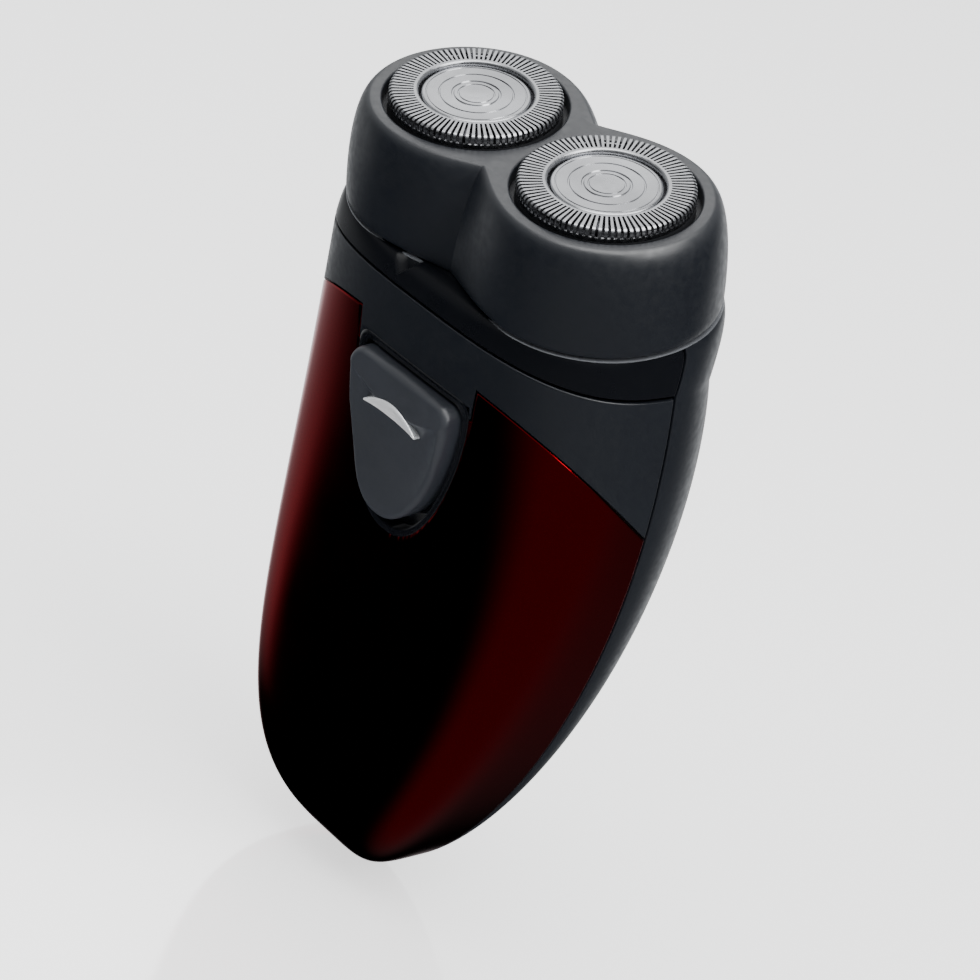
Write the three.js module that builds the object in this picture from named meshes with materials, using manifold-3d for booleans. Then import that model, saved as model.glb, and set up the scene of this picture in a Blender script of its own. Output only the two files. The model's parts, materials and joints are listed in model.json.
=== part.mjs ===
// Two-head rotary shaver that runs on two AA cells. Millimetres, +Z up, the switch faces -Y.
// The origin is under the rounded tip of the handle, at the middle of the bounding box.
import * as THREE from "three";
import { mergeVertices } from "three/addons/utils/BufferGeometryUtils.js";
import Module from "manifold-3d";

const wasm = await Module();
wasm.setup();

// ---------------------------------------------------------------- driving dimensions
const CENTRE_Y = -0.311; // moves the whole model so that its bounding box is centred on Y = 0

// Handle: sections across Z are superellipses, squarer at the front than at the back.
const HANDLE_TOP = 94.6; // where the two housings end in front
const CROWN = 96.8; // height at which the sections would be largest
const HALF_WIDTH = 31.2;
const FRONT_DEPTH = 20.5;
const BACK_DEPTH = 20.5;
const BOW = 5.68; // how far the middle of the handle lies behind its ends
const FRONT_SQUARENESS = [7.0, 3.0]; // superellipse exponent of the front, tip to top
const TIP_SQUARENESS = 2.4; // the exponent starts at this in the last few millimetres
const TIP_BLEND = 5;
const BACK_SQUARENESS = 2.4;
const TAPER_WIDTH = { p: 2.36, q: 2.15 };
const TAPER_FRONT = { p: 7.62, q: 1.72 };
const TAPER_BACK = { p: 1.72, q: 1.38 };
const BACK_DRAW_IN = 0.12; // share by which the back draws in towards the shaving unit
const WALL = 2.2;
const UNIT_GAP = 0.3; // between the neck and the shaving unit
const HANDLE_LEVELS = 10;
const NECK_LEVELS = [0.35, 0.7]; // how far up the neck its middle rings lie
const SPLIT_GAP = 0.15; // each housing stops this far from the parting surface
const REST_FLAT_Y = 22.4; // flat on the back that the shaver lies on

// Shaving unit, in a frame of its own: Z = 0 is the top of the guards, tilted to the front.
const HEAD_TILT = THREE.MathUtils.degToRad(15);
const HEAD_Y = -7.05;
const HEAD_Z = 119.5;
const HEAD_SPREAD = 14; // from the middle to each head's axis
const DECK_Z = -1.5;
const UNIT_HEIGHT = 15.55;
const LOBE_RADIUS = { deck: 14.5, widest: 17.5, foot: 17.3 };
const LOBE_WIDEST_AT = 14; // depth below the deck
const WAIST = { deck: 10, foot: 15.5 };
const WAIST_BLEND = 3.0;
const UNIT_WALL = 1.5;
const UNIT_FOOT_Z = DECK_Z - UNIT_HEIGHT;
const NECK_RADIUS = LOBE_RADIUS.foot - 0.3;

// Guards, cutters and drive
const GUARD_RADIUS = 12.25;
const GUARD_HOLE_RADIUS = 13.1;
const CAP_RADIUS = 7.7;
const BLADE_COUNT = 15;
const GEAR_MODULE = 0.5;
const PINION_TEETH = 12;
const GEAR_TEETH = 44;
const GEAR_WIDTH = 2.6;
const GEAR_TOP_Z = -21.0;
const BASE_TOP_Z = -24.6;
const BASE_THICKNESS = 1.6;
const SPINDLE_RADIUS = 1.5;

// Motor
const MOTOR_RADIUS = 10.2;
const MOTOR_FLAT = 7.7; // half distance between the can's two flats
const MOTOR_LENGTH = 16.5;

// Cells
const CELL_RADIUS = 7.1;
const CELL_LENGTH = 49.2;
const CELL_NUB_RADIUS = 2.7;
const CELL_NUB_HEIGHT = 1.2;
const CELL_X = 7.5;
const CELL_Y = 0.4;
const CELL_FOOT_Z = 19.6;

// Front panel and switch
const PANEL_THICKNESS = 1.2;
const PANEL_EDGE = { z: 74.3, slope: -0.73 }; // top edge: z = 74.3 - 0.73 y
const TONGUE_HALF_WIDTH = 12.6;
const TONGUE_FOOT_Z = 83;
const SWITCH_Y = -16.75;
const SWITCH_Z = 72.5;
const SWITCH_TILT = THREE.MathUtils.degToRad(7.2);
const SWITCH = { top: 10.9, foot: -11.6, halfWidth: 10.7, corner: 2.2, proud: 2.9 };
const SWITCH_TRAVEL = 1.8;
const INLAY = { halfWidth: 5.8, z: 4.3, edge: 0.3, lowRise: 0.5, highRise: 2.1 };
const BEZEL_WALL = 0.9;
const CLEARANCE = 0.3;

// Battery door, in the back: its half width is a share of the handle's
const DOOR = { share: 0.72, foot: 14, top: 70.5 };

// ---------------------------------------------------------------- materials
function finish(color, roughness, metalness) {
  return new THREE.MeshStandardMaterial({ color, roughness, metalness });
}
const SLATE = finish(0x3b414b, 0.45, 0);
const GLOSS_BLACK = finish(0x0b0c10, 0.12, 0);
const CANDY_RED = finish(0x4d0608, 0.08, 0.2);
const STEEL = finish(0xb8bcc2, 0.28, 1);
const BRIGHT = finish(0xe4e7ea, 0.15, 1);
const NATURAL = finish(0xd9d6cc, 0.5, 0);
const CHASSIS = finish(0x24262b, 0.6, 0);
const BRASS = finish(0xb5893c, 0.35, 1);
const CELL = finish(0x2f6b4a, 0.35, 0.2);
const LEAD_RED = finish(0xa01818, 0.5, 0);
const LEAD_BLACK = finish(0x111111, 0.5, 0);

// ---------------------------------------------------------------- solids
function solid(geometry) {
  const bare = geometry.index ? geometry.toNonIndexed() : geometry.clone();
  bare.deleteAttribute("normal");
  bare.deleteAttribute("uv");
  const merged = mergeVertices(bare, 1e-4);
  return new wasm.Manifold(
    new wasm.Mesh({
      numProp: 3,
      vertProperties: merged.attributes.position.array,
      triVerts: new Uint32Array(merged.index.array),
    }),
  );
}

function geometryOf(shape) {
  const m = shape.getMesh();
  return new THREE.BufferGeometry()
    .setAttribute("position", new THREE.BufferAttribute(m.vertProperties, 3))
    .setIndex(new THREE.BufferAttribute(m.triVerts, 1));
}

function node(parent, name, material, shape) {
  const geometry = shape.isBufferGeometry ? shape : geometryOf(shape);
  geometry.computeVertexNormals();
  const mesh = new THREE.Mesh(geometry, material);
  mesh.name = name;
  parent.add(mesh);
  return mesh;
}

// The largest body of a cut shape: cuts can leave slivers of no volume.
function largest(shape) {
  return shape.decompose().reduce((a, b) => (b.volume() > a.volume() ? b : a));
}

function box(low, high) {
  const size = high.map((v, i) => v - low[i]);
  const g = new THREE.BoxGeometry(...size);
  return g.translate(...low.map((v, i) => v + size[i] / 2));
}

// A cylinder along Z, from z0 up to z1.
function rod(radius, x, y, z0, z1, sides = 24) {
  const g = new THREE.CylinderGeometry(radius, radius, z1 - z0, sides);
  return g.rotateX(Math.PI / 2).translate(x, y, (z0 + z1) / 2);
}

// A body of revolution about Z, from a profile of [radius, z] points listed from the foot up.
function turned(profile, x = 0, y = 0, sides = 36) {
  const points = profile.map(([r, z]) => new THREE.Vector2(r, z));
  return new THREE.LatheGeometry(points, sides).rotateX(Math.PI / 2).translate(x, y, 0);
}

// A flat outline in X and Z, thick along Y from y0 to y1.
function slab(outline, y0, y1) {
  const shape = new THREE.Shape(outline.map(([x, z]) => new THREE.Vector2(x, z)));
  const g = new THREE.ExtrudeGeometry(shape, { depth: y1 - y0, bevelEnabled: false });
  return g.rotateX(Math.PI / 2).translate(0, y1, 0);
}

// A flat outline in X and Y, thick along Z from z0 to z1.
function plate(outline, z0, z1) {
  const shape = new THREE.Shape(outline.map(([x, y]) => new THREE.Vector2(x, y)));
  const g = new THREE.ExtrudeGeometry(shape, { depth: z1 - z0, bevelEnabled: false });
  return g.translate(0, 0, z0);
}

// A closed skin over rings of points, each ring the same length, listed from the foot up.
function loft(rings) {
  const count = rings[0].length;
  const middle = (ring) =>
    ring.reduce((sum, p) => sum.add(p), new THREE.Vector3()).divideScalar(count);
  const points = [...rings.flat(), middle(rings[0]), middle(rings.at(-1))];
  const foot = rings.length * count;
  const index = [];
  for (let k = 0; k < count; k++) {
    const next = (k + 1) % count;
    for (let j = 0; j + 1 < rings.length; j++) {
      const a = j * count + k;
      const b = j * count + next;
      index.push(a, b, b + count, a, b + count, a + count);
    }
    const last = (rings.length - 1) * count;
    index.push(foot, next, k, foot + 1, last + k, last + next);
  }
  return new THREE.BufferGeometry().setFromPoints(points).setIndex(index);
}

// A round wire with six sides along a list of points.
function wire(points, radius, steps) {
  const section = new THREE.Shape();
  section.absarc(0, 0, radius, 0, 2 * Math.PI);
  const path = new THREE.CatmullRomCurve3(points.map((p) => new THREE.Vector3(...p)));
  return new THREE.ExtrudeGeometry(section, {
    steps,
    curveSegments: 3,
    bevelEnabled: false,
    extrudePath: path,
  });
}

// A compression spring about a Z axis.
function coil(x, y, z0, z1, radius, wireRadius, turns) {
  const perTurn = 8;
  const points = [];
  for (let i = 0; i <= turns * perTurn; i++) {
    const angle = (2 * Math.PI * i) / perTurn;
    const rise = z0 + ((z1 - z0) * i) / (turns * perTurn);
    points.push([x + radius * Math.cos(angle), y + radius * Math.sin(angle), rise]);
  }
  return wire(points, wireRadius, turns * perTurn);
}

// ---------------------------------------------------------------- handle surface
const RING_POINTS = 36;

function taper({ p, q }, u) {
  return (1 - u ** p) ** (1 / q);
}

// Middle of the section at height z; it is also where the two housings part.
function partingY(z) {
  const k = z / HANDLE_TOP;
  return BOW * 4 * k * (1 - k);
}

function handleHalfWidth(z, inset) {
  const u = Math.max(0, (CROWN - z) / (CROWN - inset));
  return (HALF_WIDTH - inset) * taper(TAPER_WIDTH, u);
}

// Depth of the back at its middle.
function backDepth(z, inset) {
  const u = Math.max(0, (CROWN - z) / (CROWN - inset));
  const drawn = BACK_DRAW_IN * (z / HANDLE_TOP) ** 8;
  return (BACK_DEPTH * (1 - drawn) - inset) * taper(TAPER_BACK, u);
}

function frontSquareness(z, inset) {
  const [tip, top] = FRONT_SQUARENESS;
  const even = tip + (top - tip) * (z / HANDLE_TOP);
  return TIP_SQUARENESS + (even - TIP_SQUARENESS) * (1 - Math.exp((inset - z) / TIP_BLEND));
}

function superellipse(t, width, front, back, squareness) {
  const x = Math.cos(t);
  const n = Math.sin(t) < 0 ? squareness : BACK_SQUARENESS;
  const rise = (1 - Math.min(Math.abs(x), 1) ** n) ** (1 / n);
  return [width * x, Math.sin(t) < 0 ? -front * rise : back * rise];
}

// One ring of the handle, pulled in by inset; size is the height its section is taken at.
function handleRing(z, inset, size) {
  const u = Math.max(0, (CROWN - size) / (CROWN - inset));
  const ring = [];
  for (let i = 0; i < RING_POINTS; i++) {
    const t = (2 * Math.PI * i) / RING_POINTS;
    const [x, y] = superellipse(
      t,
      handleHalfWidth(size, inset),
      (FRONT_DEPTH - inset) * taper(TAPER_FRONT, u),
      backDepth(size, inset),
      frontSquareness(z, inset),
    );
    ring.push(new THREE.Vector3(x, partingY(z) + y, z));
  }
  return ring;
}

// Outline of the shaving unit: two circles joined by a blended waist.
function lobedPoint(t, radius, waist) {
  const x = (HEAD_SPREAD + radius) * Math.cos(t);
  const side = Math.sin(t) < 0 ? -1 : 1;
  const over = Math.abs(x) - HEAD_SPREAD;
  const lobe = Math.sqrt(Math.max(0, radius ** 2 - over ** 2));
  if (over > 0) return [x, side * lobe];
  const blend = (y) => {
    const sum = Math.exp(y / WAIST_BLEND) + Math.exp(waist / WAIST_BLEND);
    return WAIST_BLEND * Math.log(sum);
  };
  return [x, side * (blend(lobe) - blend(radius) + radius)];
}

function lobedOutline(radius, waist, points = RING_POINTS) {
  const outline = [];
  for (let i = 0; i < points; i++) {
    outline.push(lobedPoint((2 * Math.PI * i) / points, radius, waist));
  }
  return outline;
}

// A point of the shaving unit's frame, in the handle's frame.
function fromHead(x, y, z) {
  const turned = new THREE.Vector3(x, y, z).applyAxisAngle(new THREE.Vector3(1, 0, 0), HEAD_TILT);
  return turned.add(new THREE.Vector3(0, HEAD_Y, HEAD_Z));
}

// The handle from its tip to the plane under the shaving unit, pulled in by inset.
// An inset handle runs on past that plane, so that it cuts the outer one right through.
function handle(inset) {
  const rings = [];
  for (let j = 0; j <= HANDLE_LEVELS; j++) {
    const share = 1 - Math.cos((j / HANDLE_LEVELS) * (Math.PI / 2));
    const z = inset + (HANDLE_TOP - inset) * share;
    rings.push(handleRing(z, inset, Math.max(z, inset + 0.3)));
  }
  const shoulder = rings.at(-1);
  const outline = lobedOutline(NECK_RADIUS - inset, WAIST.foot - inset);
  const neckAt = (z) => outline.map(([x, y]) => fromHead(x, y, z));
  const neck = neckAt(UNIT_FOOT_Z - UNIT_GAP);
  for (const k of NECK_LEVELS) {
    const out = Math.sqrt(1 - k * k);
    const rise = 0.3 * k + 0.7 * (1 - (1 - k) ** 1.8);
    const ring = shoulder.map((p, i) => {
      const q = neck[i];
      return new THREE.Vector3(
        q.x + (p.x - q.x) * out,
        q.y + (p.y - q.y) * out,
        p.z + (q.z - p.z) * rise,
      );
    });
    rings.push(ring);
  }
  rings.push(neck);
  if (inset > 0) rings.push(neckAt(UNIT_FOOT_Z + 2));
  return solid(loft(rings));
}

// Everything in front of the parting surface, less gap.
function frontOf(gap) {
  const steps = 14;
  const outline = [[-60, -5], [-gap, -5]];
  for (let j = 0; j <= steps; j++) {
    const z = (HANDLE_TOP * j) / steps;
    outline.push([partingY(z) - gap, z]);
  }
  outline.push([-gap, 130], [-60, 130]);
  const shape = new THREE.Shape(outline.map(([y, z]) => new THREE.Vector2(y, z)));
  const g = new THREE.ExtrudeGeometry(shape, { depth: 80, bevelEnabled: false });
  return solid(g.rotateX(Math.PI / 2).rotateZ(Math.PI / 2).translate(-40, 0, 0));
}

const outer = handle(0);
const inner = handle(WALL);
const front = frontOf(SPLIT_GAP);
const back = solid(box([-60, -60, -10], [60, 60, 140])).subtract(frontOf(-SPLIT_GAP));

// ---------------------------------------------------------------- groups
const shaver = new THREE.Group();
shaver.position.y = CENTRE_Y;
const unit = new THREE.Group();
unit.position.set(0, HEAD_Y, HEAD_Z);
unit.rotation.x = HEAD_TILT;
const control = new THREE.Group();
control.position.set(0, SWITCH_Y, SWITCH_Z);
control.rotation.x = SWITCH_TILT;
shaver.add(unit, control);

function placed(group, geometry) {
  group.updateMatrix();
  return solid(geometry.applyMatrix4(group.matrix));
}

// ---------------------------------------------------------------- switch
// Shield outline: straight top with round corners, sides that curve down to a round foot.
// With a travel it is the outline swept that far down.
function shield(grow, travel = 0) {
  const half = SWITCH.halfWidth + grow;
  const top = SWITCH.top + grow;
  const shoulder = top - SWITCH.corner;
  const foot = SWITCH.foot - grow;
  const outline = [];
  for (const side of [1, -1]) {
    for (let i = 0; i <= 4; i++) {
      const a = (Math.PI / 8) * (side > 0 ? i : 4 - i);
      const x = half - SWITCH.corner + SWITCH.corner * Math.cos(a);
      outline.push([side * x, shoulder + SWITCH.corner * Math.sin(a)]);
    }
  }
  const steps = 16;
  for (let i = travel > 0 ? 0 : 1; i < (travel > 0 ? steps + 1 : steps); i++) {
    const x = -Math.cos((Math.PI * i) / steps);
    const drop = (1 - Math.min(1, Math.abs(x)) ** 2.3) ** 0.62;
    outline.push([half * x, shoulder - travel + (foot - shoulder) * drop]);
  }
  return outline;
}

const openingGrow = CLEARANCE + BEZEL_WALL + CLEARANCE;
const opening = placed(control, slab(shield(openingGrow, SWITCH_TRAVEL), -8, 8));
const bezelBlock = solid(slab(shield(CLEARANCE + BEZEL_WALL, SWITCH_TRAVEL), -0.2, 3.6));
const bezelWell = solid(slab(shield(CLEARANCE, SWITCH_TRAVEL), -3, 2.4));
const stemSlot = solid(box([-2.6, 0, -6.5], [2.6, 6, 4]));
node(control, "switch_bezel", GLOSS_BLACK, bezelBlock.subtract(bezelWell).subtract(stemSlot));

// Thumb scoop in the lower part of the slider.
const ball = new THREE.SphereGeometry(26, 40, 20).scale(0.62, 1, 1);
const scoop = solid(ball.translate(0, -27.1, -7));
const stem = solid(box([-2.2, 1.5, -3.0], [2.2, 5.6, 3.4]));

// Lens-shaped inlay on the ridge of the slider.
function crescent(grow) {
  const half = INLAY.halfWidth + grow;
  const steps = 10;
  const outline = [];
  const arc = (i, z, rise) => {
    const x = half * ((2 * i) / steps - 1);
    outline.push([x, z + rise * (1 - (x / INLAY.halfWidth) ** 2)]);
  };
  for (let i = 0; i <= steps; i++) arc(i, INLAY.z - grow, INLAY.lowRise);
  for (let i = steps; i >= 0; i--) arc(i, INLAY.z + INLAY.edge + grow, INLAY.highRise);
  return outline;
}
const sliderBlock = solid(slab(shield(0), -SWITCH.proud, 2.1)).subtract(scoop);
const inlaySeat = solid(slab(crescent(0.1), -6, -SWITCH.proud + 0.9));
node(control, "switch_slider", SLATE, sliderBlock.add(stem).subtract(inlaySeat));
const inlay = slab(crescent(-0.12), -SWITCH.proud - 0.15, -SWITCH.proud + 0.8);
node(control, "switch_inlay", BRIGHT, inlay);

// Contact leaf behind the switch: the stem presses its bent end.
const leaf = slab([[-2, -9], [2, -9], [2, 6], [-2, 6]], 6.1, 6.5);
node(control, "switch_leaf", BRASS, leaf);

// ---------------------------------------------------------------- housings and panel
const panelTop = (y) => PANEL_EDGE.z + PANEL_EDGE.slope * y;
// Everything under the panel's slanting top edge; drop lowers the edge by that much.
function underPanelEdge(drop) {
  const low = -40;
  const high = 30;
  const slant = [[high, panelTop(high) - drop], [low, panelTop(low) - drop]];
  const outline = [[low, -10], [high, -10], ...slant];
  const shape = new THREE.Shape(outline.map(([y, z]) => new THREE.Vector2(y, z)));
  const g = new THREE.ExtrudeGeometry(shape, { depth: 80, bevelEnabled: false });
  return solid(g.rotateX(Math.PI / 2).rotateZ(Math.PI / 2).translate(-40, 0, 0));
}
// Part of the front housing that comes down to the switch; grow widens it.
function tongue(grow) {
  const half = TONGUE_HALF_WIDTH + grow;
  return solid(box([-half, -40, TONGUE_FOOT_Z - grow], [half, 0, 100]));
}
const panelCore = handle(PANEL_THICKNESS);
const pocketCore = handle(PANEL_THICKNESS + CLEARANCE);
const frontTrim = solid(box([-60, -60, -10], [60, 60, HANDLE_TOP - SPLIT_GAP]));

const pocket = underPanelEdge(0).subtract(pocketCore).subtract(tongue(0));
const frontShell = outer.subtract(inner).intersect(front).intersect(frontTrim);
node(shaver, "front_housing", SLATE, largest(frontShell.subtract(pocket).subtract(opening)));

const panelSkin = outer.subtract(panelCore).intersect(frontOf(SPLIT_GAP + 0.25));
const panel = panelSkin.intersect(underPanelEdge(CLEARANCE)).subtract(tongue(CLEARANCE));
node(shaver, "front_panel", CANDY_RED, largest(panel.subtract(opening)));

// Band between the front housing and the shaving unit, with a notch in its top edge.
const bandTrim = solid(box([-60, -60, HANDLE_TOP + SPLIT_GAP], [60, 60, 140]));
const bandSkin = outer.subtract(inner).intersect(front).intersect(bandTrim);
const notchOutline = [[-9.5, 102], [-6.4, 96.2], [-3.3, 102]];
const notch = solid(slab(notchOutline, -30, -12)).subtract(panelCore);
node(shaver, "collar_band", GLOSS_BLACK, largest(bandSkin.subtract(notch)));

// Rear housing with a doorway and a flat to lie on.
function doorway(grow) {
  const steps = 12;
  const low = DOOR.foot - grow;
  const high = DOOR.top + grow;
  const right = [];
  for (let i = 0; i <= steps; i++) {
    const z = low + ((high - low) * i) / steps;
    right.push([DOOR.share * handleHalfWidth(z, 0) + grow, z]);
  }
  const left = right.map(([x, z]) => [-x, z]).reverse();
  return solid(slab([...right, ...left], 6, 40));
}
const restFlat = solid(box([-60, REST_FLAT_Y, -10], [60, 60, 140]));
const rearShell = outer.subtract(inner).intersect(back).subtract(restFlat);
node(shaver, "rear_housing", SLATE, largest(rearShell.subtract(doorway(CLEARANCE))));
node(shaver, "battery_door", SLATE, largest(rearShell.intersect(doorway(0))));
const latchFoot = DOOR.top - 5;
const latchY = partingY(latchFoot) + backDepth(latchFoot, WALL) - 0.5;
node(shaver, "door_latch", CHASSIS, box([-4, latchY - 1.6, latchFoot], [4, latchY, DOOR.top - 0.4]));

// ---------------------------------------------------------------- cells and their tray
const trayTopZ = CELL_FOOT_Z + CELL_LENGTH + 1.2;
const trayBlock = solid(box([-15.4, -7.6, CELL_FOOT_Z - 4.8], [15.4, -1.2, trayTopZ]));
let tray = trayBlock;
for (const side of [-1, 1]) {
  const bore = rod(CELL_RADIUS + 0.35, side * CELL_X, CELL_Y, CELL_FOOT_Z - 3, trayTopZ + 1, 32);
  tray = tray.subtract(solid(bore));
}
const bridgeSeat = box([-13.5, -3.6, CELL_FOOT_Z - 3.9], [13.5, 10, CELL_FOOT_Z - 2.9]);
node(shaver, "battery_tray", CHASSIS, tray.subtract(solid(bridgeSeat)));

for (const [name, side] of [["left", -1], ["right", 1]]) {
  const low = CELL_FOOT_Z;
  const high = low + CELL_LENGTH;
  const tip = high + CELL_NUB_HEIGHT;
  const profile = [
    [0, low],
    [CELL_RADIUS - 0.4, low],
    [CELL_RADIUS, low + 0.4],
    [CELL_RADIUS, high - 0.5],
    [CELL_RADIUS - 0.5, high],
    [CELL_NUB_RADIUS, high],
    [CELL_NUB_RADIUS, tip - 0.2],
    [CELL_NUB_RADIUS - 0.3, tip],
    [0, tip],
  ];
  const body = turned(profile, 0, 0, 28);
  const flip = side < 0; // one cell stands on its head
  if (flip) body.rotateX(Math.PI).translate(0, 0, 2 * low + CELL_LENGTH);
  body.translate(side * CELL_X, CELL_Y, 0);
  node(shaver, "battery_" + name, CELL, body);
  const springZ = flip ? [high + 0.6, high + 2.4] : [low - 2.6, low - 0.6];
  const spring = coil(side * CELL_X, CELL_Y, ...springZ, 3.2, 0.35, 3);
  node(shaver, "contact_spring_" + name, BRASS, spring);
}
const bridgeLow = [-13.2, CELL_Y - 3.6, CELL_FOOT_Z - 3.6];
const bridgeHigh = [13.2, CELL_Y + 3.6, CELL_FOOT_Z - 3.2];
node(shaver, "contact_bridge", BRASS, box(bridgeLow, bridgeHigh));
const contactZ = CELL_FOOT_Z + CELL_LENGTH + 3.0;
for (const [name, side] of [["left", -1], ["right", 1]]) {
  const low = [side * CELL_X - 5, CELL_Y - 4, contactZ];
  const high = [side * CELL_X + 5, CELL_Y + 4, contactZ + 0.4];
  node(shaver, "contact_plate_" + name, BRASS, box(low, high));
}

// ---------------------------------------------------------------- deck, gear base and motor
const SPINDLES = [["left", -HEAD_SPREAD], ["right", HEAD_SPREAD]];
const DECK_TOP = UNIT_FOOT_Z - UNIT_GAP - SPLIT_GAP;
const deckRadius = NECK_RADIUS - WALL - CLEARANCE;
const deckWaist = WAIST.foot - WALL - CLEARANCE;
const lobedPlate = (inset, z0, z1) =>
  solid(plate(lobedOutline(deckRadius - inset, deckWaist - inset), z0, z1));
const rim = lobedPlate(0.4, DECK_TOP - 0.8, DECK_TOP + 3.4);
let deck = lobedPlate(0, DECK_TOP - 1.6, DECK_TOP);
deck = deck.add(rim.subtract(lobedPlate(1.6, DECK_TOP - 2.5, DECK_TOP + 5)));
for (const [, x] of SPINDLES) {
  deck = deck.add(solid(rod(4.2, x, 0, DECK_TOP - 0.5, DECK_TOP + 1.6)));
  deck = deck.subtract(solid(rod(SPINDLE_RADIUS + 1.45, x, 0, DECK_TOP - 3, DECK_TOP + 3)));
}
node(unit, "top_deck", GLOSS_BLACK, deck);

const baseLow = BASE_TOP_Z - BASE_THICKNESS;
let base = solid(plate(lobedOutline(13.2, 10.5), baseLow, BASE_TOP_Z));
for (const [, x] of SPINDLES) {
  base = base.add(solid(rod(2.4, x, 0, baseLow - 3, baseLow + 0.5)));
  base = base.subtract(solid(rod(SPINDLE_RADIUS + 0.06, x, 0, baseLow - 6, 0)));
}
base = base.subtract(solid(rod(2.6, 0, 0, baseLow - 1, BASE_TOP_Z + 1)));
const SCREW_SPREAD = 6.2;
for (const y of [-SCREW_SPREAD, SCREW_SPREAD]) {
  base = base.subtract(solid(rod(1.25, 0, y, baseLow - 1, BASE_TOP_Z + 1, 16)));
}
node(unit, "gear_base", CHASSIS, base);

const motorTop = baseLow - 0.3;
const motorFoot = motorTop - MOTOR_LENGTH;
function can(radius, flat, z0, z1) {
  const bounds = solid(box([-radius - 1, -flat, z0 - 1], [radius + 1, flat, z1 + 1]));
  return solid(rod(radius, 0, 0, z0, z1, 40)).intersect(bounds);
}
let motor = can(MOTOR_RADIUS, MOTOR_FLAT, motorFoot + 2, motorTop);
motor = motor.subtract(solid(rod(2.2, 0, 0, motorTop - 4, motorTop + 1, 20)));
for (const y of [-SCREW_SPREAD, SCREW_SPREAD]) {
  motor = motor.subtract(solid(rod(1.0, 0, y, motorTop - 3, motorTop + 1, 16)));
}
node(unit, "motor_can", STEEL, motor);
const endCap = can(MOTOR_RADIUS - 0.6, MOTOR_FLAT - 0.6, motorFoot, motorFoot + 1.7);
const endBoss = solid(rod(2.6, 0, 0, motorFoot - 0.8, motorFoot + 0.5, 20));
node(unit, "motor_end_cap", NATURAL, endCap.add(endBoss));
["rear", "front"].forEach((name, i) => {
  const y = SCREW_SPREAD * (i ? -1 : 1);
  const profile = [
    [0, motorTop - 2.4],
    [0.85, motorTop - 2.4],
    [0.85, BASE_TOP_Z + 0.1],
    [1.9, BASE_TOP_Z + 0.1],
    [1.9, BASE_TOP_Z + 0.8],
    [1.2, BASE_TOP_Z + 1.1],
    [0, BASE_TOP_Z + 1.1],
  ];
  node(unit, "motor_screw_" + name, STEEL, turned(profile, 0, y, 14));
});

// ---------------------------------------------------------------- gear train
// Straight teeth with a little backlash; a tooth or a gap points along +X.
function gear(teeth, z0, z1, gapFirst) {
  const pitch = (GEAR_MODULE * teeth) / 2;
  const outerR = pitch + 0.85 * GEAR_MODULE;
  const rootR = pitch - 1.2 * GEAR_MODULE;
  const step = (2 * Math.PI) / teeth;
  const outline = [];
  for (let i = 0; i < teeth; i++) {
    const a = (i + (gapFirst ? 0.5 : 0)) * step;
    for (const [r, at] of [[rootR, -0.3], [outerR, -0.1], [outerR, 0.1], [rootR, 0.3]]) {
      outline.push([r * Math.cos(a + at * step), r * Math.sin(a + at * step)]);
    }
  }
  return solid(plate(outline, z0, z1));
}
const gearLow = GEAR_TOP_Z - GEAR_WIDTH;
const shaftTop = GEAR_TOP_Z + 0.4;
const pinion = gear(PINION_TEETH, gearLow, GEAR_TOP_Z + 0.2, false);
node(unit, "drive_pinion", BRASS, pinion.subtract(solid(rod(0.85, 0, 0, gearLow - 1, 0, 12))));
const shaftProfile = [
  [0, motorTop - 3.4],
  [0.8, motorTop - 3.4],
  [0.8, shaftTop - 0.2],
  [0.6, shaftTop],
  [0, shaftTop],
];
node(unit, "motor_shaft", STEEL, turned(shaftProfile, 0, 0, 14));

const socketFloor = -19.6; // the spindle's foot slides above this, inside the gear's tower
const spindleFoot = -17.4;
for (const [name, x] of SPINDLES) {
  let wheel = gear(GEAR_TEETH, gearLow, GEAR_TOP_Z, true);
  wheel = wheel.add(solid(rod(SPINDLE_RADIUS, 0, 0, baseLow - 2.6, gearLow + 0.5, 20)));
  wheel = wheel.add(solid(rod(2.7, 0, 0, gearLow + 0.5, -15.2, 24)));
  const socket = box([-1.35, -1.35, socketFloor], [1.35, 1.35, -10]);
  wheel = wheel.subtract(solid(socket));
  node(unit, "drive_gear_" + name, NATURAL, geometryOf(wheel).translate(x, 0, 0));
  // Square spindle with a flat-sided tip that drives the cutter.
  let spindle = solid(box([-1.2, -1.2, spindleFoot], [1.2, 1.2, -9.5]));
  spindle = spindle.add(solid(rod(2.0, 0, 0, -12.6, -11.8, 20)));
  spindle = spindle.add(solid(box([-1.0, -1.0, -9.6], [1.0, 1.0, -4.2])));
  node(unit, "drive_spindle_" + name, NATURAL, geometryOf(spindle).translate(x, 0, 0));
  node(unit, "spindle_spring_" + name, STEEL, coil(x, 0, -14.9, -13.0, 2.1, 0.2, 3));
}

// ---------------------------------------------------------------- shaving unit
function lobeRadius(depth) {
  const { deck: top, widest, foot } = LOBE_RADIUS;
  if (depth < LOBE_WIDEST_AT) {
    return top + (widest - top) * (1 - (1 - depth / LOBE_WIDEST_AT) ** 2.2) ** (1 / 2.2);
  }
  const k = (depth - LOBE_WIDEST_AT) / (UNIT_HEIGHT - LOBE_WIDEST_AT);
  return widest + (foot - widest) * k * k;
}
function lobedRing(depth, inset) {
  const waist = WAIST.deck + (WAIST.foot - WAIST.deck) * (depth / UNIT_HEIGHT);
  return lobedOutline(lobeRadius(depth) - inset, waist - inset, 44).map(
    ([x, y]) => new THREE.Vector3(x, y, DECK_Z - depth),
  );
}
const DEPTHS = [UNIT_HEIGHT, 14, 9.5, 6, 3.2, 1.3, 0.35, 0];
let shell = solid(loft(DEPTHS.map((d) => lobedRing(d, 0))));
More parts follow.
